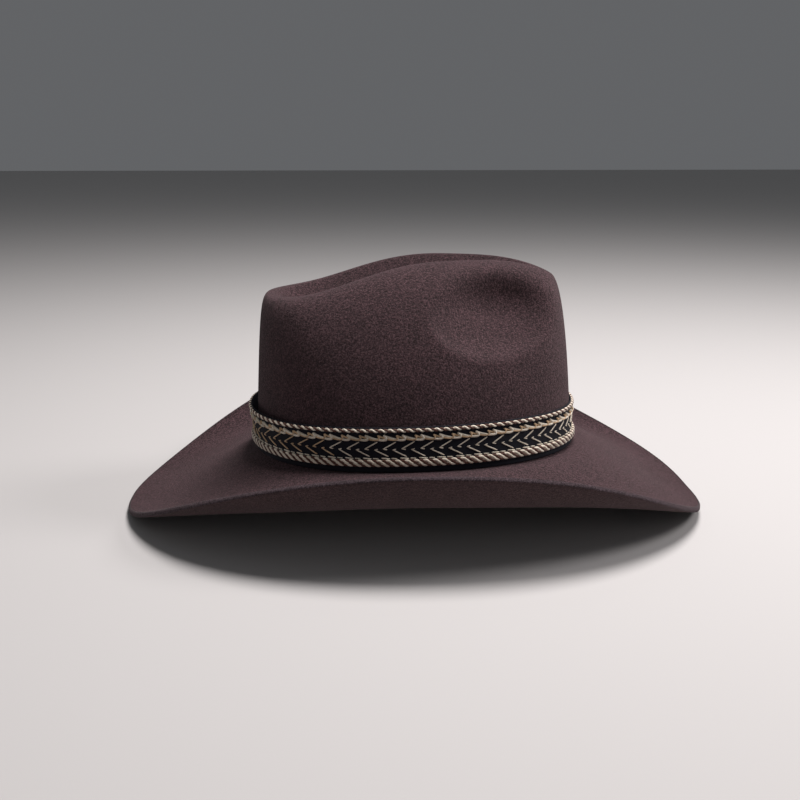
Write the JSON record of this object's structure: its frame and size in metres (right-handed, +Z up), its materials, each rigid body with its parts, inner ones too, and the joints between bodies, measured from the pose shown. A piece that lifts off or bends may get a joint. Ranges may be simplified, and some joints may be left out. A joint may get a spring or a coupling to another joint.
{
  "type": "cowboy hat",
  "caption": "Brown wool felt western hat with a creased crown, curled brim, braided black and cream hatband, sweatband and lining.",
  "frame": {"origin": "on the ground under the middle of the hat, which stands on its front and rear brim tips", "axes": "+X to the front of the hat, +Y to the wearer's left, +Z up"},
  "size_m": [0.38, 0.3084, 0.1623],
  "materials": {
    "felt": "matte",
    "dark_thread": "matte",
    "leather": "satin",
    "cream_yarn": "matte",
    "webbing": "matte",
    "satin": "satin",
    "ribbon": "satin",
    "label": "satin"
  },
  "bodies": {
    "hat": {"felt_body": "felt", "brim_edge_stitching": "dark_thread", "sweatband": "leather", "sweatband_reed": "leather", "sweatband_stitching": "cream_yarn", "sweatband_back_seam": "leather", "size_label": "label", "sweatband_bow": "ribbon", "lining_side": "satin", "lining_piping": "satin", "lining_tip": "satin"},
    "hatband": {"hatband_webbing": "webbing", "hatband_lower_rope": "cream_yarn", "hatband_dash_row": "cream_yarn", "hatband_chevron_lower": "cream_yarn", "hatband_chevron_upper": "cream_yarn", "hatband_chain_braid": "cream_yarn", "hatband_upper_cord": "cream_yarn"}
  },
  "joints": [
    {"name": "hatband_lift", "type": "slide", "parent": "hat", "child": "hatband", "axis": [0, 0, 1], "range_m": [0, 0.15]}
  ]
}
